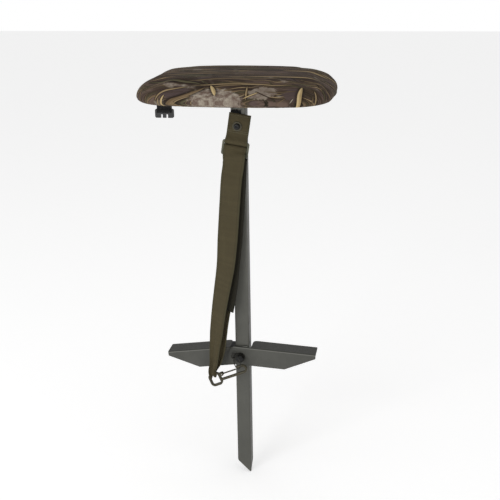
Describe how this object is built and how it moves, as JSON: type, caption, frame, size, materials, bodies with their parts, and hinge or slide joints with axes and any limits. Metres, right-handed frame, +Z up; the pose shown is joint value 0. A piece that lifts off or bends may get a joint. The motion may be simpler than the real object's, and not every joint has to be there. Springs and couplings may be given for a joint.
{
  "type": "stake stool",
  "caption": "Padded field stool on a pointed square-tube stake, with folding angle wings near the point and a webbing carrying strap that ends in a snap hook and ring.",
  "frame": {"origin": "on the stake tube's axis, level with the stake's point", "axes": "+Z up along the stake to the seat, +X to the right seen from the strap side, -Y towards the strap side (front)"},
  "size_m": [0.333, 0.24, 0.756],
  "materials": {
    "camo_fabric": "matt printed polyester with reed and grass pattern",
    "plywood": "unfinished plywood",
    "coated_steel": "satin grey-green powder coat",
    "wing_steel": "satin dark grey-green powder coat, lighter on the fold",
    "dark_steel": "dark oxide coat, semi-gloss",
    "zinc_steel": "zinc plated",
    "nylon": "natural nylon",
    "rubber": "black rubber",
    "olive_webbing": "olive woven webbing",
    "black_webbing": "black woven webbing",
    "olive_plastic": "dark olive moulded plastic",
    "black_plastic": "black moulded plastic"
  },
  "bodies": {
    "frame": {"seat_cushion": "camo_fabric", "cover_hem": "camo_fabric", "seat_board": "plywood", "hem_staples": "zinc_steel", "board_nuts": "zinc_steel", "plate_bolts": "zinc_steel", "seat_plate": "coated_steel", "seat_stub": "coated_steel", "stake_tube": "coated_steel", "pivot_pad_inner": "nylon", "pivot_pad_outer": "nylon", "pivot_washer": "dark_steel", "pivot_bush": "dark_steel", "back_washer": "zinc_steel", "pivot_sleeve": "zinc_steel", "hub_bolt": "dark_steel", "hub_nut": "zinc_steel", "ring_lug": "dark_steel", "hub_ring": "zinc_steel", "wing_stop": "rubber", "stop_screw": "dark_steel", "backing_tab": "black_webbing", "strap_top": "olive_webbing", "strap_washer": "dark_steel", "strap_screw": "zinc_steel", "weld_nut": "zinc_steel", "strap_slider": "olive_plastic", "strap_front_run": "olive_webbing", "strap_back_run": "olive_webbing", "strap_tail": "olive_webbing", "strap_bight": "olive_webbing", "snap_hook": "dark_steel", "gate_pin": "zinc_steel", "belt_end": "black_webbing", "belt_screw": "zinc_steel"},
    "right_wing": {"right_wing": "wing_steel"},
    "left_wing": {"left_wing": "wing_steel"},
    "gate": {"hook_gate": "dark_steel"},
    "buckle": {"belt_buckle": "black_plastic"}
  },
  "joints": [
    {"name": "right_wing_fold", "type": "hinge", "parent": "frame", "child": "right_wing", "pos_m": [-0.002, -0.0184, 0.2425], "axis": [0, 1, 0], "range_deg": [-11.5, 87]},
    {"name": "left_wing_fold", "type": "hinge", "parent": "frame", "child": "left_wing", "pos_m": [-0.002, -0.0149, 0.2425], "axis": [0, -1, 0], "range_deg": [-1, 82]},
    {"name": "hook_gate_swing", "type": "hinge", "parent": "frame", "child": "gate", "pos_m": [-0.03454, -0.036, 0.21388], "axis": [0, 1, 0], "range_deg": [0, 11], "stiffness_Nm_per_rad": 0.02, "springref_deg": -22.92},
    {"name": "buckle_swing", "type": "hinge", "parent": "frame", "child": "buckle", "pos_m": [-0.1145, -0.0592, 0.6994], "axis": [1, 0, 0], "range_deg": [-60, 60]}
  ]
}
